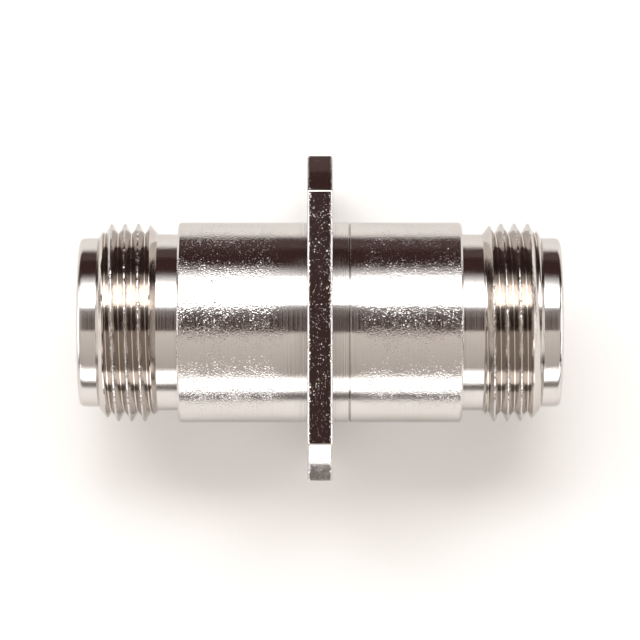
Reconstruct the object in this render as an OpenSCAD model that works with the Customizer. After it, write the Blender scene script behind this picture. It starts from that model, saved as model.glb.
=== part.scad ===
// Straight coaxial adapter, jack to jack, with a square panel flange in the middle.
// The row's X axis is the coaxial line, and the flange's middle plane is x = 0.

/* [Adapter] */
// Length over the two end faces
overall_length = 38.4; // [36:0.2:44]
// Diameter of the plain barrel on each side of the flange
barrel_d = 16; // [15.9:0.1:17]
// Diameter of the relief neck behind each thread
neck_d = 14.1; // [13.8:0.1:14.5]
// Length of the relief neck
neck_length = 1.67; // [1.2:0.01:2.4]
// Bevel on the barrel's outer shoulder
shoulder_bevel = 0.15; // [0.1:0.05:0.4]

/* [Coupling thread] */
// Major diameter of the thread
thread_major_d = 15.85; // [15.6:0.01:15.87]
// Root diameter of the thread
thread_root_d = 14.55; // [14.5:0.01:14.8]
// Distance from crest to crest
thread_pitch = 1.058; // [0.95:0.001:1.15]
// Length of the threaded stretch, with its two end cones
thread_length = 4.75; // [4.4:0.01:5.4]
// Length of the cone that leads a nut on, at the rim
lead_length = 0.6; // [0.3:0.05:0.9]
// Length of the cone that the thread runs out on, at the neck
runout_length = 0.7; // [0.4:0.05:0.9]
// Width of the flat on each crest
crest_width = 0.13; // [0.08:0.01:0.2]

/* [End rim] */
// Diameter of the plain rim in front of the thread
rim_d = 13.5; // [12.6:0.1:13.8]
// Length of the plain rim
rim_length = 1.5; // [1.2:0.01:2.2]
// Radius of the rim's rounded front corner
rim_corner_r = 0.4; // [0.2:0.05:0.8]

/* [Mating bore] */
// Bore that takes the plug's outer contact
mating_bore_d = 8.1; // [8.0:0.02:8.3]
// Depth from the end face to the reference plane
mating_depth = 9.15; // [8.6:0.05:9.6]
// Bevel at the mouth of the mating bore
mouth_bevel = 0.35; // [0.2:0.05:0.6]
// Opening of the outer conductor at the reference plane
land_d = 7; // [6.6:0.1:7.4]
// Length of that opening, up to the insulator's seat
land_length = 0.8; // [0.5:0.05:1.2]

/* [Flange] */
// Width over the flange's flats
flange_width = 25.4; // [24.6:0.2:27]
// Thickness of the flange
flange_thickness = 2; // [1.6:0.1:3]
// Diameter that the flange's corners are turned to
flange_corner_d = 32.1; // [31:0.1:34]
// Bevel round both faces of the flange
flange_bevel = 0.2; // [0.1:0.05:0.4]
// Spacing of the four screw holes, centre to centre
screw_spacing = 18.26; // [17.6:0.02:18.8]
// Diameter of each screw hole
screw_hole_d = 3.4; // [2.8:0.1:3.6]

/* [Joint between the shells] */
// Length of barrel that the flanged shell keeps past its flange
stub_length = 1.35; // [0.8:0.05:3]
// Diameter of the end shell's spigot
spigot_d = 12.6; // [12:0.1:13.4]
// Length of the end shell's spigot
spigot_length = 6; // [4:0.2:8]
// Radial gap between the spigot and its bore
spigot_gap = 0.02; // [0.01:0.005:0.05]
// Bevel that shows as the seam between the shells
seam_bevel = 0.1; // [0.05:0.05:0.2]
// Bevel that starts the spigot into its bore
spigot_bevel = 0.3; // [0.2:0.05:0.5]

/* [Insulators] */
// Bore of the chamber that holds the insulators
chamber_d = 10.2; // [9.8:0.1:10.8]
// Radial gap round each insulator
chamber_gap = 0.04; // [0.02:0.01:0.08]
// Bevel on each insulator's outer edges
insulator_bevel = 0.25; // [0.1:0.05:0.5]

/* [Centre contact] */
// Diameter of the contact
contact_d = 3.04; // [2.8:0.02:3.2]
// Diameter of the collar held between the insulators
collar_d = 4.2; // [3.8:0.1:5]
// Length of the collar
collar_length = 4; // [3:0.2:6]
// Radial gap between the contact and the insulators
contact_gap = 0.03; // [0.02:0.01:0.06]
// Distance that each socket reaches in front of the reference plane
socket_reach = 4.8; // [4.4:0.1:5.2]
// Bore of each socket
socket_bore_d = 1.66; // [1.6:0.02:1.8]
// Depth of each socket's bore
socket_depth = 5.2; // [4.6:0.1:6]
// Width of the slots between the spring fingers
slot_width = 0.3; // [0.2:0.05:0.4]
// Length of the slots
slot_length = 4.4; // [3.6:0.1:4.6]
// Bevel at each socket's mouth and tip
tip_bevel = 0.15; // [0.1:0.05:0.25]

/* [Hidden] */
$fn = 120;

// Places along the axis, from the flange's middle plane out to one end face
end_x = overall_length / 2;
thread_end_x = end_x - rim_length;
thread_start_x = thread_end_x - thread_length;
barrel_end_x = thread_start_x - neck_length;
reference_x = end_x - mating_depth;
seat_x = reference_x - land_length;
seam_x = flange_thickness / 2 + stub_length;
spigot_end_x = seam_x - spigot_length;
tip_x = reference_x + socket_reach;

// Full-height stretch between the two end cones, with its grooves one pitch apart about the middle
full_start_x = thread_start_x + runout_length;
full_end_x = thread_end_x - lead_length;
groove_count = floor((full_end_x - full_start_x) / thread_pitch);
flank_angle = 30;

// Overshoot of a cut past the face that it goes through
cut = 1;

nickel = "#b4aaa2";
ptfe = "#f2f1ec";
gold = "#cf9f4f";

// Middle of groove i, counted from the neck
function groove_x(i) = (full_start_x + full_end_x) / 2 + (i - (groove_count - 1) / 2) * thread_pitch;

// One groove's section, from crest to root to crest, as [radius, x]
function groove(i) =
    let (half_mouth = (thread_pitch - crest_width) / 2,
         half_root = half_mouth - (thread_major_d - thread_root_d) / 2 * tan(flank_angle))
    [
        [thread_major_d / 2, groove_x(i) - half_mouth],
        [thread_root_d / 2, groove_x(i) - half_root],
        [thread_root_d / 2, groove_x(i) + half_root],
        [thread_major_d / 2, groove_x(i) + half_mouth]
    ];

// Rounded front corner of the rim, as [radius, x]
function rim_corner() = [
    for (angle = [90 : -15 : 0])
        [rim_d / 2 - rim_corner_r + rim_corner_r * sin(angle), end_x - rim_corner_r + rim_corner_r * cos(angle)]
];

// Outside of one end, from the barrel's shoulder to the mouth, as [radius, x]
function end_outline() = [
    [barrel_d / 2, barrel_end_x - shoulder_bevel],
    [barrel_d / 2 - shoulder_bevel, barrel_end_x],
    [neck_d / 2, barrel_end_x],
    [neck_d / 2, thread_start_x],
    [thread_major_d / 2, full_start_x],
    for (i = [0 : groove_count - 1]) each groove(i),
    [thread_major_d / 2, full_end_x],
    [rim_d / 2, thread_end_x],
    each rim_corner()
];

// Inside of one end, from the mouth to the insulator's seat, as [radius, x]
function end_bore() = [
    [mating_bore_d / 2 + mouth_bevel, end_x],
    [mating_bore_d / 2, end_x - mouth_bevel],
    [mating_bore_d / 2, reference_x],
    [land_d / 2, reference_x],
    [land_d / 2, seat_x],
    [chamber_d / 2, seat_x]
];

// Turns a profile of [radius, x] points about the coaxial axis
module turned(outline) {
    rotate([0, 90, 0])
        rotate_extrude()
            polygon(outline);
}

// The same piece at the other end
module mirrored_end() {
    mirror([1, 0, 0])
        children();
}

// Section of the flange's bevelled edge, x across the thickness
module flange_section(width) {
    t = flange_thickness / 2;
    w = width / 2;
    polygon([
        [-t, -w + flange_bevel], [-t + flange_bevel, -w], [t - flange_bevel, -w], [t, -w + flange_bevel],
        [t, w - flange_bevel], [t - flange_bevel, w], [-t + flange_bevel, w], [-t, w - flange_bevel]
    ]);
}

// Square plate with bevelled edges and turned corners
module flange_plate() {
    t = flange_thickness / 2;
    r = flange_corner_d / 2;
    intersection() {
        linear_extrude(flange_width + 2 * cut, center = true)
            flange_section(flange_width);
        rotate([90, 0, 0])
            linear_extrude(flange_width + 2 * cut, center = true)
                flange_section(flange_width);
        turned([[0, -t], [r - flange_bevel, -t], [r, -t + flange_bevel],
                [r, t - flange_bevel], [r - flange_bevel, t], [0, t]]);
    }
}

// Four screw holes on a square
module screw_holes() {
    for (y = [-1, 1], z = [-1, 1])
        translate([0, y * screw_spacing / 2, z * screw_spacing / 2])
            rotate([0, 90, 0])
                cylinder(d = screw_hole_d, h = flange_thickness + 2 * cut, center = true);
}

// Body turned and milled in one piece with the flange
module flanged_shell() {
    color(nickel)
        difference() {
            union() {
                mirrored_end()
                    turned([[0, 0], [barrel_d / 2, 0], each end_outline(), [0, end_x]]);
                turned([[0, -flange_bevel], [barrel_d / 2, -flange_bevel], [barrel_d / 2, seam_x - seam_bevel],
                        [barrel_d / 2 - seam_bevel, seam_x], [0, seam_x]]);
                flange_plate();
            }
            mirrored_end()
                turned([[0, end_x + cut], [mating_bore_d / 2 + mouth_bevel, end_x + cut], each end_bore(),
                        [chamber_d / 2, -seam_x - cut], [0, -seam_x - cut]]);
            turned([[0, spigot_end_x], [spigot_d / 2 + spigot_gap, spigot_end_x],
                    [spigot_d / 2 + spigot_gap, seam_x + cut], [0, seam_x + cut]]);
            screw_holes();
        }
}

// Second body, pressed into the first by its spigot
module end_shell() {
    color(nickel)
        turned([[chamber_d / 2, spigot_end_x],
                [spigot_d / 2 - spigot_bevel, spigot_end_x],
                [spigot_d / 2, spigot_end_x + spigot_bevel],
                [spigot_d / 2, seam_x],
                [barrel_d / 2 - seam_bevel, seam_x],
                [barrel_d / 2, seam_x + seam_bevel],
                each end_outline(),
                each end_bore()]);
}

// Half of the dielectric, counterbored for the contact's collar
module insulator() {
    outer_r = chamber_d / 2 - chamber_gap;
    bore_r = contact_d / 2 + contact_gap;
    collar_r = collar_d / 2 + contact_gap;
    color(ptfe)
        turned([[collar_r, 0], [outer_r - insulator_bevel, 0], [outer_r, insulator_bevel],
                [outer_r, seat_x - insulator_bevel], [outer_r - insulator_bevel, seat_x],
                [bore_r, seat_x], [bore_r, collar_length / 2], [collar_r, collar_length / 2]]);
}

module front_insulator() {
    mirrored_end()
        insulator();
}

module rear_insulator() {
    insulator();
}

// Bore and slots that make one end of the contact a spring socket
module socket_cut() {
    bore_r = socket_bore_d / 2;
    turned([[0, tip_x - socket_depth], [bore_r, tip_x - socket_depth], [bore_r, tip_x - tip_bevel],
            [bore_r + tip_bevel + cut, tip_x + cut], [0, tip_x + cut]]);
    for (turn = [0, 90])
        rotate([turn, 0, 0])
            translate([tip_x - slot_length, -contact_d, -slot_width / 2])
                cube([slot_length + cut, 2 * contact_d, slot_width]);
}

// One turned rod with a socket at each end and a collar in the middle
module centre_contact() {
    r = contact_d / 2;
    color(gold)
        difference() {
            turned([[0, -tip_x], [r - tip_bevel, -tip_x], [r, -tip_x + tip_bevel],
                    [r, -collar_length / 2], [collar_d / 2, -collar_length / 2],
                    [collar_d / 2, collar_length / 2], [r, collar_length / 2],
                    [r, tip_x - tip_bevel], [r - tip_bevel, tip_x], [0, tip_x]]);
            socket_cut();
            mirrored_end()
                socket_cut();
        }
}

flanged_shell();
end_shell();
front_insulator();
rear_insulator();
centre_contact();
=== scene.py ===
from math import acos, cos, hypot, pi, radians, sin, tan

import bmesh
import bpy
from mathutils import Matrix, Vector, noise


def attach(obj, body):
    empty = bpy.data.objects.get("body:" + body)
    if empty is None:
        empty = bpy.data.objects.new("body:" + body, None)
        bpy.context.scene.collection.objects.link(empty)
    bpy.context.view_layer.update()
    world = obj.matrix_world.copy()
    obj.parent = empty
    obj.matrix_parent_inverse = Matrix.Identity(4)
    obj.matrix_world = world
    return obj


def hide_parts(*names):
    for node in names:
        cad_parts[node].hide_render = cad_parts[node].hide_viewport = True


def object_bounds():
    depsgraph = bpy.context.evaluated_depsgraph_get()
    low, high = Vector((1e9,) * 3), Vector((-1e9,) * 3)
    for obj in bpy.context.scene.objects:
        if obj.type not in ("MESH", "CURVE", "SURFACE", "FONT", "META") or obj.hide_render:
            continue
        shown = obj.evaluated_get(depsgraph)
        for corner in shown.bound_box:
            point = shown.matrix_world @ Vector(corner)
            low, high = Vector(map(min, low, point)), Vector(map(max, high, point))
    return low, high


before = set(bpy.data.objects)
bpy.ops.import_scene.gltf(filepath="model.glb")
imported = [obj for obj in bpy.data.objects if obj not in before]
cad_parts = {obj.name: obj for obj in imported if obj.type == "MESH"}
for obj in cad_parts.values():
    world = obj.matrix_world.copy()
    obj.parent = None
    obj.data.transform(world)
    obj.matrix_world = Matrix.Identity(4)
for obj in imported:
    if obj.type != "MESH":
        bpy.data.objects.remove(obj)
cad_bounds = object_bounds()


# ---- Camera ----------------------------------------------------------------------------------
# A long lens looks down on the adapter, which lies with its coaxial line level across the view
# and its square flange edge on. It leans a little towards the near side, so the axis is just
# below the middle of the view.
MM = 0.001
camera_distance = 358 * MM
camera_lean = radians(1.8)
view_width = 51.3 * MM
camera_aim = Vector((0, 0.19, 0)) * MM

scene = bpy.context.scene
scene.view_settings.view_transform = "Standard"
camera = bpy.data.objects.new("camera", bpy.data.cameras.new("camera"))
camera.data.lens = camera.data.sensor_width * camera_distance / view_width
camera.data.clip_start = 0.01
camera.location = camera_aim + camera_distance * Vector((0, -sin(camera_lean), cos(camera_lean)))
camera.rotation_euler = (camera_lean, 0, 0)
scene.collection.objects.link(camera)
scene.camera = camera


# ---- Floor and backdrop ----------------------------------------------------------------------
# A wide sheet of matt white card, on which the flange's lower edge stands, with a low white wall
# round it. Both are plain, so that the adapter's own shadow is all that marks them. The wall only
# closes the view when the adapter is seen from the side, and neither lights it nor is lit.
floor_z = cad_bounds[0][2]
floor_width = 12.0
wall_distance = 2.15
wall_height = 0.5
card_white = "#fbfaf8"
card_roughness = 0.9
card_gloss = 0.2
wall_white = "#fafafa"


def linear(colour):
    """Turns an sRGB hex colour into the linear colour that a shader takes."""
    channels = [int(colour[i : i + 2], 16) / 255 for i in (1, 3, 5)]
    return [c / 12.92 if c <= 0.04045 else ((c + 0.055) / 1.055) ** 2.4 for c in channels] + [1]


def add(material, kind, inputs=None, **settings):
    """Adds a shader node. An input is a value, or the output of another node to link."""
    node = material.node_tree.nodes.new("ShaderNode" + kind)
    for name, value in settings.items():
        setattr(node, name, value)
    for name, value in (inputs or {}).items():
        if isinstance(value, bpy.types.NodeSocket):
            material.node_tree.links.new(value, node.inputs[name])
        else:
            node.inputs[name].default_value = value
    return node


def new_material(name):
    """An empty node material and its output node."""
    material = bpy.data.materials.new(name)
    material.use_nodes = True
    material.node_tree.nodes.clear()
    return material, add(material, "OutputMaterial")


def new_piece(name, bm, material):
    """Makes an object from a finished bmesh, in metres and in its place."""
    mesh = bpy.data.meshes.new(name)
    bm.to_mesh(mesh)
    bm.free()
    mesh.materials.append(material)
    piece = bpy.data.objects.new(name, mesh)
    scene.collection.objects.link(piece)
    return piece


# Uncoated card: no gloss, and an even white that a shadow fades into
matt_card, output = new_material("matt_white_card")
card_shader = add(matt_card, "BsdfPrincipled", {"Base Color": linear(card_white),
                                                "Roughness": card_roughness,
                                                "Specular IOR Level": card_gloss})
matt_card.node_tree.links.new(card_shader.outputs[0], output.inputs["Surface"])

bm = bmesh.new()
bmesh.ops.create_grid(bm, x_segments=1, y_segments=1, size=floor_width / 2,
                      matrix=Matrix.Translation((0, 0, floor_z)))
floor = new_piece("floor", bm, matt_card)

# Evenly lit white paint: the wall looks as bright as the card in front of it
painted_wall, output = new_material("lit_white_paint")
wall_shader = add(painted_wall, "Emission", {"Color": linear(wall_white)})
painted_wall.node_tree.links.new(wall_shader.outputs[0], output.inputs["Surface"])

bm = bmesh.new()
bmesh.ops.create_cone(bm, cap_ends=False, segments=64, radius1=wall_distance, radius2=wall_distance,
                      depth=wall_height,
                      matrix=Matrix.Translation((0, 0, floor_z + wall_height / 2)))
wall = new_piece("wall", bm, painted_wall)
for ray in ("diffuse", "glossy", "transmission", "volume_scatter", "shadow"):
    setattr(wall, "visible_" + ray, False)


# ---- Lights ----------------------------------------------------------------------------------
# Long softboxes lie along the adapter, so that the turned metal shows them as level bands: a
# bright one high on the far side, a weak wide one overhead on the near side and a low bright
# strip under that. Three more past each end light the edges that face them.
lamp_distance = 2.0
fill_warm = "#fff8f0"

# How far the key lamps stand to one side, along the adapter
key_slide = -0.25
core_slide = -0.1


def softbox(name, start, end, reach, first, last, colour="#ffffff", bearing=0, slide=0):
    """A lamp seen from start to end, in degrees from overhead towards +Y or the bearing from it.
    It reaches an angle to each side. Its radiance runs from first to last, and 1 shows white."""
    lamp = bpy.data.lights.new(name, "AREA")
    lamp.shape = "RECTANGLE"
    lamp.size = 2 * lamp_distance * tan(radians(reach))
    lamp.size_y = 2 * lamp_distance * tan(radians(end - start) / 2)
    lamp.energy = pi * lamp.size * lamp.size_y
    lamp.color = linear(colour)[:3]
    lamp.use_nodes = True
    lamp.node_tree.nodes.clear()
    place = add(lamp, "NewGeometry").outputs["Parametric"]
    along = add(lamp, "SeparateXYZ", {0: place}).outputs["Y"]
    radiance = add(lamp, "MapRange", {"Value": along, "To Min": first, "To Max": last})
    glow = add(lamp, "Emission", {"Strength": radiance.outputs[0]})
    add(lamp, "OutputLight", {"Surface": glow.outputs[0]})
    holder = bpy.data.objects.new(name, lamp)
    holder.matrix_world = (Matrix.Rotation(radians(bearing), 4, "Z")
                           @ Matrix.Rotation(-radians(start + end) / 2, 4, "X")
                           @ Matrix.Translation((slide, 0, lamp_distance)))
    holder.visible_camera = False
    scene.collection.objects.link(holder)


# The two angles that each lamp fills, its reach, and its radiance at the one and the other
softbox("key_spill", 5, 12, 24, 0.05, 0.1, slide=key_slide)
softbox("key_inner_edge", 12, 20, 24, 0.2, 0.8, slide=key_slide)
softbox("key_softbox", 20, 33, 26, 6.8, 6.8, slide=key_slide)
softbox("key_falloff", 33, 54, 38, 3.0, 1.3, slide=key_slide)
softbox("key_core", 33, 48, 7, 4.5, 4.5, slide=core_slide)
softbox("key_outer_edge", 54, 63, 24, 1.0, 0.45, slide=key_slide)
softbox("overhead_fill", -69, -13, 40, 0.5, 0.8, fill_warm)
softbox("low_strip", -89, -69, 40, 2.8, 2.8)
for side, bearing in (("left", 90), ("right", -90)):
    softbox(side + "_overhead", 12, 40, 12, 0.45, 0.45, fill_warm, bearing=bearing)
    softbox(side + "_wing", 40, 58, 12, 1.0, 1.0, fill_warm, bearing=bearing)
    softbox(side + "_low", 58, 89, 32, 2.2, 2.2, bearing=bearing)


# ---- Room and painted reflections ------------------------------------------------------------
# The room above the lights is dark and warm, which gives the metal its brown bands. Glowing sheets,
# which only reflections see and which light nothing, are painted reflections over the pale table:
# brown on the far side, grey on the near.
room_brown = "#422e2b"
far_reflection_brown = "#5e4d4b"
near_reflection_grey = "#8a837f"
sheet_width = 6.0
sheet_lift = 0.2 * MM

world = bpy.data.worlds.new("dark_room")
world.use_nodes = True
world.node_tree.nodes["Background"].inputs["Color"].default_value = linear(room_brown)
scene.world = world


def reflection_sheet(name, start, end, colour):
    """A glowing sheet just over the floor, from start to end in Y, that only reflections see: a
    painted reflection.
    """
    glow, output = new_material(name)
    shader = add(glow, "Emission", {"Color": linear(colour)})
    glow.node_tree.links.new(shader.outputs[0], output.inputs["Surface"])
    bm = bmesh.new()
    near = [bm.verts.new((x, start, floor_z + sheet_lift)) for x in (-sheet_width / 2, sheet_width / 2)]
    far = [bm.verts.new((x, end, floor_z + sheet_lift)) for x in (sheet_width / 2, -sheet_width / 2)]
    bm.faces.new(near + far)
    card = new_piece(name, bm, glow)
    for ray in ("camera", "diffuse", "transmission", "volume_scatter", "shadow"):
        setattr(card, "visible_" + ray, False)


# Painted reflections: brown and grey glowing sheets that only the metal's reflections show, over the
# pale table
reflection_sheet("far_table_painted_reflection", 42 * MM, 0.35, far_reflection_brown)
reflection_sheet("far_room_painted_reflection", 0.35, 3.0, room_brown)
reflection_sheet("near_table_painted_reflection", -3.0, -80 * MM, near_reflection_grey)


# ---- Nickel ----------------------------------------------------------------------------------
# Bright nickel plated on turned brass: warm grey, nearly a mirror. The plate keeps the lathe's
# fine rings, and tumbling in the plating barrel has nicked the outer surfaces with shallow dents.
nickel_grey = "#d5d2cf"
groove_grey = "#cfc8c2"
edge_grey = "#e6e5e4"
nickel_roughness = 0.1
nickel_ring_spacing = 0.11
nickel_ring_depth = 0.014
peel_size = 1 / 7
peel_depth = 0.02
crowd_size = 1 / 0.7
patch_size = 1 / 0.6
wander_size = 0.2
wander_length = 0.12
smallest_dent = 0.01

# Stretches, in millimetres along the axis or out from it, over which a kind of wear sets in
left_barrel_x = (-1.8, -4.0)
right_barrel_x = (2.2, 4.0)
outer_surface_r = (7.5, 7.8)
plate_r = (8.1, 8.3)
plate_arris_x = (0.7, 0.85)
end_face_x = (18.8, 18.95)
rim_edge_r = (6.2, 6.5)
groove_r = (7.85, 7.6)
thread_middle_r = 7.56
thread_half_height = 0.4

# The same for how squarely a face looks along the axis, from 0 to 1
plate_side_facing = (0.95, 0.9)
milled_facing = (0.9, 0.5)

# How much of each kind there is: 1 is the wear of the left barrel
right_barrel_wear = 0.85
inner_surface_wear = 0.1
plate_wear = (0.6, 1.8)
plate_face_wear = 0.12
rim_wear = 0.6
least_crowd = 0.6
milled_peel = 0.2
worn_rings = 0.65
groove_smoothness = 0.8

# Spacing, largest radius as a share of it, and steepness of each size of dent
dent_sizes = ((0.32, 0.34, 0.22), (0.2, 0.65, 0.12), (0.12, 0.6, 0.15))


def places(material):
    """Places in millimetres, and from them the place along the axis and the distance from it."""
    place = add(material, "TexCoord").outputs["Object"]
    scaled = add(material, "VectorMath", {0: place, "Scale": 1 / MM}, operation="SCALE").outputs[0]
    axes = add(material, "SeparateXYZ", {0: scaled}).outputs
    across = add(material, "CombineXYZ", {"Y": axes["Y"], "Z": axes["Z"]}).outputs[0]
    radius = add(material, "VectorMath", {0: across}, operation="LENGTH").outputs["Value"]
    return scaled, axes["X"], radius


def between(material, value, start, end, low=0.0, high=1.0, **settings):
    """Runs from low where the value is start to high where it is end."""
    return add(material, "MapRange", {"Value": value, "From Min": start, "From Max": end,
                                      "To Min": low, "To Max": high}, **settings).outputs[0]


def combine(material, operation, first, second=0.0):
    """One sum on two values."""
    return add(material, "Math", {0: first, 1: second}, operation=operation).outputs[0]


def lathe_rings(material, x, radius, spacing):
    """The height of the turning tool's marks, which run round the axis on every turned face."""
    tool_path = combine(material, "ADD", x, radius)
    marks = add(material, "TexNoise", {"W": tool_path, "Scale": 1 / spacing, "Detail": 5.0,
                                       "Roughness": 0.65}, noise_dimensions="1D")
    return marks.outputs["Fac"]


def bump(material, height, depth, strength=1.0, **under):
    """The normal where a height of 1 stands for a depth in millimetres."""
    return add(material, "Bump", {"Height": height, "Distance": depth * MM, "Strength": strength,
                                  **under}).outputs[0]


nickel, output = new_material("bright_nickel_plate")
millimetres, x, radius = places(nickel)
reach = combine(nickel, "ABSOLUTE", x)
face_normal = add(nickel, "NewGeometry").outputs["True Normal"]
facing = combine(nickel, "ABSOLUTE", add(nickel, "SeparateXYZ", {0: face_normal}).outputs["X"])
thread = add(nickel, "Math", {0: radius, 1: thread_middle_r, 2: thread_half_height},
             operation="COMPARE").outputs[0]
plate = between(nickel, radius, *plate_r)

# Where the parts knocked together: the barrel away from the flange, the crests, the outer edges
barrels = combine(nickel, "MAXIMUM", between(nickel, x, *left_barrel_x),
                  between(nickel, x, *right_barrel_x, 0.0, right_barrel_wear))
outside = combine(nickel, "MULTIPLY", barrels,
                  between(nickel, radius, *outer_surface_r, inner_surface_wear))
plate_edge = combine(nickel, "MULTIPLY", between(nickel, reach, *plate_arris_x, *plate_wear),
                     between(nickel, facing, *plate_side_facing, plate_face_wear))
plate_dents = combine(nickel, "MULTIPLY", plate, plate_edge)
rims = combine(nickel, "MULTIPLY", between(nickel, reach, *end_face_x),
               between(nickel, radius, *rim_edge_r, 0.0, rim_wear))
knocked = combine(nickel, "MAXIMUM", combine(nickel, "MAXIMUM", outside, plate_dents), rims)

# The rings are worn where it is knocked, and neither the grooves nor the plate's edge show them
milled = combine(nickel, "MULTIPLY", plate, between(nickel, facing, *milled_facing))
plain = combine(nickel, "MAXIMUM", combine(nickel, "MULTIPLY", thread, groove_smoothness), milled)
ring_strength = combine(nickel, "MULTIPLY", between(nickel, knocked, 0.0, 1.0, 1.0, worn_rings),
                        between(nickel, plain, 1.0, 0.0))
rings = lathe_rings(nickel, x, radius, nickel_ring_spacing)
ringed = bump(nickel, rings, nickel_ring_depth, ring_strength)

# Dents and a soft orange peel, which lie closer together in some places than in others
crowding = add(nickel, "TexNoise", {"Vector": millimetres, "Scale": 1 / crowd_size, "Detail": 2.0})
crowded = combine(nickel, "MULTIPLY", knocked,
                  between(nickel, crowding.outputs["Fac"], 0.35, 0.6, least_crowd))
peel = add(nickel, "TexNoise", {"Vector": millimetres, "Scale": 1 / peel_size, "Detail": 2.0})
peel_strength = combine(nickel, "MULTIPLY", crowded,
                        between(nickel, milled, 0.0, 1.0, 1.0, milled_peel))
dented = bump(nickel, peel.outputs["Fac"], peel_depth, peel_strength, Normal=ringed)
wander = add(nickel, "TexNoise", {"Vector": millimetres, "Scale": 1 / wander_size, "Detail": 1.0})
bent = add(nickel, "VectorMath", {0: wander.outputs["Color"], 1: 3 * (wander_length,), 2: millimetres},
           operation="MULTIPLY_ADD").outputs[0]


def dents(spacing, largest, steepness, normal):
    """Dents of many sizes, one in each cell of that spacing. Returns the bumped normal."""
    cells = add(nickel, "TexVoronoi", {"Vector": bent, "Scale": 1 / spacing})
    chance = add(nickel, "SeparateColor", {0: cells.outputs["Color"]}).outputs[0]
    size = combine(nickel, "MULTIPLY", between(nickel, chance, 0.0, 1.0, 0.1, largest), crowded)
    size = combine(nickel, "MAXIMUM", size, smallest_dent)
    inside = combine(nickel, "DIVIDE", cells.outputs["Distance"], size)
    bowl = between(nickel, inside, 1.0, 0.0, 0.0, -1.0, interpolation_type="SMOOTHSTEP")
    return bump(nickel, combine(nickel, "MULTIPLY", bowl, size), steepness * spacing, Normal=normal)


for spacing, largest, steepness in dent_sizes:
    dented = dents(spacing, largest, steepness, dented)

# Darker and warmer in the thread grooves and, faintly, in patches and along the rings
patches = add(nickel, "TexNoise", {"Vector": millimetres, "Scale": 1 / patch_size, "Detail": 5.0,
                                   "Roughness": 0.7})
streaks = combine(nickel, "MULTIPLY", between(nickel, rings, 0.35, 0.7),
                  between(nickel, patches.outputs["Fac"], 0.4, 0.65, 0.2))
grooves = combine(nickel, "MULTIPLY", thread, between(nickel, radius, *groove_r))
darker_tone = combine(nickel, "MAXIMUM", streaks, grooves)
plate_colour = add(nickel, "Mix", {"Factor": darker_tone, 6: linear(nickel_grey), 7: linear(groove_grey)},
                   data_type="RGBA", clamp_factor=False)
nickel_shader = add(nickel, "BsdfPrincipled", {"Base Color": plate_colour.outputs[2],
                                               "Metallic": 1.0, "Roughness": nickel_roughness,
                                               "Specular Tint": linear(edge_grey),
                                               "Normal": dented})
nickel.node_tree.links.new(nickel_shader.outputs[0], output.inputs["Surface"])


# ---- Coupling ends ---------------------------------------------------------------------------
# Each shell ends in a turned brass coupling: a barrel, a relief neck, the right-hand thread that
# a plug's nut runs on, and a plain rim round the mating bore. The lathe cuts the thread as one
# helix, which fades out on a cone at each end.
barrel_r = 8.0
shoulder_bevel = 0.15
neck_r = 7.05
neck_length = 1.67
thread_length = 4.75
rim_r = 6.75
rim_length = 1.5
rim_corner_r = 0.4

# The thread: the lead-on is a short steep cone at the rim and a longer flat one behind it
crest_r = 7.925
root_r = 7.15
pitch = 1.058
flank_angle = radians(30)
turns_of_thread = 8
runout_length = 0.7
lead_length = 0.98
lead_step = 0.25
lead_step_r = 7.2
nick_depth = 0.08
nick_spacing = 0.25

# Its crest, with the rounded half's points as shares of the width and of the drop
crest_width = 0.13
crest_drop = 0.03
crest_round = ((0.25, 0.0), (0.42, 0.3), (0.5, 1.0))

# The bore, from the mouth to the seat of the insulator
mouth_bevel = 0.35
bore_r = 4.05
mating_depth = 9.15
land_r = 3.5
land_length = 0.8
chamber_r = 5.1

# Places along the axis, from the end face inwards
end_x = cad_bounds[1][0] / MM
thread_end_x = end_x - rim_length
thread_start_x = thread_end_x - thread_length
barrel_end_x = thread_start_x - neck_length
reference_x = end_x - mating_depth
seat_x = reference_x - land_length

# Fineness of the mesh
steps = 360
flank_cuts = 5
weld = 1e-3
smooth_below = radians(22)


def blank_r(x):
    """Radius of the blank that the thread is cut in: a cone at the neck, and two at the rim."""
    lead_x = thread_end_x - lead_step
    runout = neck_r + (x - thread_start_x) / runout_length * (crest_r - neck_r)
    step = rim_r + (thread_end_x - x) / lead_step * (lead_step_r - rim_r)
    lead = lead_step_r + (lead_x - x) / (lead_length - lead_step) * (crest_r - lead_step_r)
    return min(runout, crest_r, lead if x < lead_x else step)


def border(bm, x):
    """Open edges of a part-made surface that lie at one place along the axis."""
    return [e for e in bm.edges
            if len(e.link_faces) < 2 and all(abs(v.co.x - x) < weld for v in e.verts)]


def draw_on(bm, edges, outline):
    """Extends a round border through each (x, radius) place in turn. Returns the last border."""
    for x, r in outline:
        grown = bmesh.ops.extrude_edge_only(bm, edges=edges)["geom"]
        verts = [g for g in grown if isinstance(g, bmesh.types.BMVert)]
        for v in verts:
            shrink = r / hypot(v.co.y, v.co.z)
            v.co = (x, v.co.y * shrink, v.co.z * shrink)
        ring = set(verts)
        edges = [g for g in grown if isinstance(g, bmesh.types.BMEdge) and ring.issuperset(g.verts)]
    return edges


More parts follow.
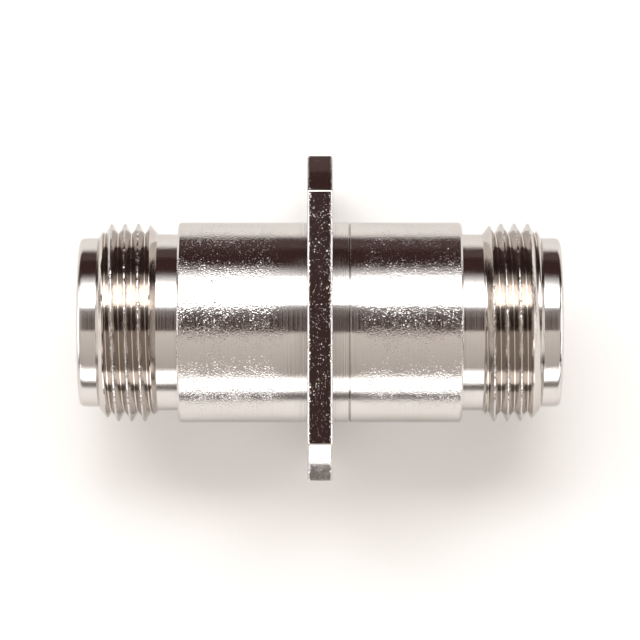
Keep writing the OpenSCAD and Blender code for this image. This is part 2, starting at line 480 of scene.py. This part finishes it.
def cut_thread(bm, first_crest):
    """One helix between the neck and the rim, with a crest at first_crest on the +Y side.
    Its knocked crests are nicked here and there."""
    flank = (crest_r - crest_drop - root_r) * tan(flank_angle)
    half = [(out * crest_width, crest_r - down * crest_drop) for out, down in crest_round]
    half.append((0.5 * crest_width + flank, root_r))
    section = half + [(pitch - x, r) for x, r in reversed(half)]
    verts = [bm.verts.new((first_crest + turn * pitch + x, r, 0))
             for turn in range(turns_of_thread) for x, r in section]
    edges = [bm.edges.new(pair) for pair in zip(verts, verts[1:])]
    falling, rising = edges[2::len(section)], edges[4::len(section)]
    bmesh.ops.subdivide_edges(bm, edges=falling + rising, cuts=flank_cuts)
    bmesh.ops.spin(bm, geom=bm.verts[:] + bm.edges[:], axis=(1, 0, 0), cent=(0, 0, 0),
                   dvec=(pitch / steps, 0, 0), angle=2 * pi, steps=steps)
    bmesh.ops.remove_doubles(bm, verts=bm.verts, dist=weld)
    for x in (thread_start_x, thread_start_x + runout_length, thread_end_x - lead_length,
              thread_end_x - lead_step, thread_end_x):
        bmesh.ops.bisect_plane(bm, geom=bm.verts[:] + bm.edges[:] + bm.faces[:], dist=weld / 10,
                               plane_co=(x, 0, 0), plane_no=(1, 0, 0),
                               clear_inner=x == thread_start_x, clear_outer=x == thread_end_x)
    for v in bm.verts:
        r = hypot(v.co.y, v.co.z)
        if r > crest_r - 2 * crest_drop:
            r -= nick_depth * max(0, noise.noise(v.co / nick_spacing))
        shrink = min(r, blank_r(v.co.x)) / hypot(v.co.y, v.co.z)
        v.co = (v.co.x, v.co.y * shrink, v.co.z * shrink)


def coupling_end(bm, first_crest):
    """The outside from the barrel to the rim and the bore inside it, out along +X.
    Returns the open border of the barrel and that of the insulator's chamber."""
    cut_thread(bm, first_crest)
    barrel = draw_on(bm, border(bm, thread_start_x), (
        (barrel_end_x, neck_r), (barrel_end_x, barrel_r - shoulder_bevel),
        (barrel_end_x - shoulder_bevel, barrel_r)))
    rim_top = draw_on(bm, border(bm, thread_end_x), ((end_x, rim_r),))
    chamber = draw_on(bm, rim_top, (
        (end_x, bore_r + mouth_bevel), (end_x - mouth_bevel, bore_r), (reference_x, bore_r),
        (reference_x, land_r), (seat_x, land_r), (seat_x, chamber_r)))
    bmesh.ops.bevel(bm, geom=rim_top, offset=rim_corner_r, offset_type="OFFSET", affect="EDGES",
                    segments=6, profile=0.5, material=-1, clamp_overlap=False)
    return barrel, chamber


def finish_shell(name, bm, node):
    """Shades a closed shell, brings it to metres and puts it in the CAD node's place."""
    bmesh.ops.recalc_face_normals(bm, faces=bm.faces)
    for face in bm.faces:
        face.smooth = True
    for edge in bm.edges:
        edge.smooth = edge.calc_face_angle(pi) < smooth_below
    bmesh.ops.scale(bm, vec=(MM, MM, MM), verts=bm.verts)
    shell = new_piece(name, bm, nickel)
    flats = shell.modifiers.new("flats_keep_flat", "WEIGHTED_NORMAL")
    flats.keep_sharp = True
    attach(shell, "root")
    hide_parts(node)
    return shell


# ---- End shell -------------------------------------------------------------------------------
# The plain half: turned brass, nickel plated, pressed into the flanged half by the spigot that
# is turned on its inner end. Its edge shows as a hairline seam beside the flange.
seam_x = 2.35
seam_bevel = 0.1
spigot_r = 6.3
spigot_length = 6
spigot_end_x = seam_x - spigot_length
spigot_bevel = 0.3
end_shell_crest = 11.296

bm = bmesh.new()
barrel, chamber = coupling_end(bm, end_shell_crest)
spigot = draw_on(bm, barrel, (
    (seam_x + seam_bevel, barrel_r), (seam_x, barrel_r - seam_bevel), (seam_x, spigot_r),
    (spigot_end_x + spigot_bevel, spigot_r), (spigot_end_x, spigot_r - spigot_bevel),
    (spigot_end_x, chamber_r)))
bmesh.ops.bridge_loops(bm, edges=spigot + chamber)
finish_shell("end_shell_turned", bm, "end_shell")


# ---- Flanged shell ---------------------------------------------------------------------------
# The half that is bolted down: barrel and square flange cut from one bar of brass, its corners
# turned round on the lathe and its four screw holes drilled, then nickel plated like the other.
flange_half = 12.7
flange_face_x = 1.0
flange_corner_r = 16.05
flange_bevel = 0.22
arris_round = 0.065
arris_angle = radians(15)
screw_reach = 9.13
screw_hole_r = 1.7
hole_bevel = 0.12
hole_segments = 48
corner_steps = 8
spigot_bore_r = 6.32
flanged_shell_crest = 10.847


def flange_faces(bm):
    """The flange's two broad faces, the one towards +X first."""
    broad = [f for f in bm.faces if len(f.verts) > 4 * corner_steps]
    return sorted(broad, key=lambda f: -f.calc_center_median().x)


def flange_rim(bm):
    """The flange's edge faces with every edge rounded, open on both sides. Returns both borders."""
    side = acos(flange_half / flange_corner_r)
    outline = []
    for corner in range(4):
        for step in range(corner_steps + 1):
            angle = corner * pi / 2 + side + (pi / 2 - 2 * side) * step / corner_steps
            y, z = flange_corner_r * cos(angle), flange_corner_r * sin(angle)
            outline.append(bm.verts.new((-flange_face_x, y, z)))
    plate = bm.faces.new(outline)
    grown = bmesh.ops.extrude_face_region(bm, geom=[plate], use_keep_orig=True)["geom"]
    moved = [g for g in grown if isinstance(g, bmesh.types.BMVert)]
    bmesh.ops.translate(bm, verts=moved, vec=(2 * flange_face_x, 0, 0))
    across = [e for v in outline for e in v.link_edges
              if abs(e.verts[0].co.x - e.verts[1].co.x) > flange_face_x]
    arris = [e for e in across if e.calc_face_angle(0) > arris_angle]
    for edges, offset in ((arris, arris_round), (None, flange_bevel)):
        edges = edges or [e for face in flange_faces(bm) for e in face.edges]
        bmesh.ops.bevel(bm, geom=edges, offset=offset, offset_type="OFFSET", affect="EDGES",
                        segments=4, profile=0.5, material=-1, clamp_overlap=False)
    faces = flange_faces(bm)
    borders = [list(face.edges) for face in faces]
    bmesh.ops.delete(bm, geom=faces, context="FACES_ONLY")
    return borders


def round_loop(bm, x, y, z, r, segments):
    """A circle round a line along the axis, as edges."""
    place = Matrix.Translation((x, y, z)) @ Matrix.Rotation(pi / 2, 4, "Y")
    ring = bmesh.ops.create_circle(bm, cap_ends=False, segments=segments, radius=r, matrix=place)
    return list(dict.fromkeys(e for v in ring["verts"] for e in v.link_edges))


bm = bmesh.new()
barrel, chamber = coupling_end(bm, flanged_shell_crest)
rim_front, rim_back = flange_rim(bm)
front = draw_on(bm, barrel, ((flange_face_x, barrel_r),))
back = round_loop(bm, -flange_face_x, 0, 0, barrel_r, steps)
rim_front, rim_back = rim_front + front, rim_back + back

# The screw holes, drilled through and bevelled lightly at both mouths
for y in (-screw_reach, screw_reach):
    for z in (-screw_reach, screw_reach):
        hole = [round_loop(bm, x, y, z, screw_hole_r + widening, hole_segments)
                for x, widening in ((flange_face_x, hole_bevel), (flange_face_x - hole_bevel, 0),
                                    (hole_bevel - flange_face_x, 0), (-flange_face_x, hole_bevel))]
        for near, far in zip(hole, hole[1:]):
            bmesh.ops.bridge_loops(bm, edges=near + far)
        rim_front, rim_back = rim_front + hole[0], rim_back + hole[-1]
for edges in (rim_front, rim_back):
    bmesh.ops.triangle_fill(bm, edges=edges, use_beauty=True, normal=(1, 0, 0))

# The stub behind the back face, and the bore in it that takes the other half's spigot
bore = draw_on(bm, back, (
    (seam_bevel - seam_x, barrel_r), (-seam_x, barrel_r - seam_bevel), (-seam_x, spigot_bore_r),
    (-spigot_end_x, spigot_bore_r), (-spigot_end_x, chamber_r)))
bmesh.ops.bridge_loops(bm, edges=bore + chamber)
bmesh.ops.rotate(bm, verts=bm.verts, cent=(0, 0, 0), matrix=Matrix.Rotation(pi, 3, "Z"))
finish_shell("flanged_shell_turned", bm, "flanged_shell")


# ---- Insulators ------------------------------------------------------------------------------
# Two turned blanks of white PTFE that hold the contact in the middle of the bore. The plastic is
# waxy and a little translucent, and its faces keep faint tool rings.
ptfe_white = "#f2f1ec"
ptfe_roughness = (0.38, 0.52)
ptfe_ior = 1.35
ptfe_translucence = 0.3
ptfe_depth = 0.5 * MM
ptfe_ring_spacing = 0.12
ptfe_ring_depth = 0.006
cloud_size = 1.25

ptfe, output = new_material("turned_ptfe")
millimetres, x, radius = places(ptfe)
ptfe_ringed = bump(ptfe, lathe_rings(ptfe, x, radius, ptfe_ring_spacing), ptfe_ring_depth)
clouds = add(ptfe, "TexNoise", {"Vector": millimetres, "Scale": 1 / cloud_size, "Detail": 3.0})
waxiness = between(ptfe, clouds.outputs["Fac"], 0.3, 0.7, *ptfe_roughness)
ptfe_shader = add(ptfe, "BsdfPrincipled", {"Base Color": linear(ptfe_white), "Roughness": waxiness,
                                           "IOR": ptfe_ior, "Subsurface Weight": ptfe_translucence,
                                           "Subsurface Scale": ptfe_depth, "Normal": ptfe_ringed})
ptfe.node_tree.links.new(ptfe_shader.outputs[0], output.inputs["Surface"])
for name in ("front_insulator", "rear_insulator"):
    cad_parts[name].material_slots[0].material = ptfe


# ---- Centre contact --------------------------------------------------------------------------
# A turned rod of beryllium copper, slotted into spring fingers at both ends to grip a plug's
# pin, and held by its collar. Gold plate over nickel gives it a warm yellow, softer than a mirror.
gold_yellow = "#e6b866"
gold_roughness = (0.14, 0.24)
gold_ring_spacing = 0.08
gold_ring_depth = 0.004
rub_size = 1 / 1.5

gold, output = new_material("gold_plate")
millimetres, x, radius = places(gold)
gold_ringed = bump(gold, lathe_rings(gold, x, radius, gold_ring_spacing), gold_ring_depth)
rubs = add(gold, "TexNoise", {"Vector": millimetres, "Scale": 1 / rub_size, "Detail": 4.0})
rubbed = between(gold, rubs.outputs["Fac"], 0.3, 0.7, *gold_roughness)
gold_shader = add(gold, "BsdfPrincipled", {"Base Color": linear(gold_yellow), "Metallic": 1.0,
                                           "Roughness": rubbed, "Normal": gold_ringed})
gold.node_tree.links.new(gold_shader.outputs[0], output.inputs["Surface"])
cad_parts["centre_contact"].material_slots[0].material = gold
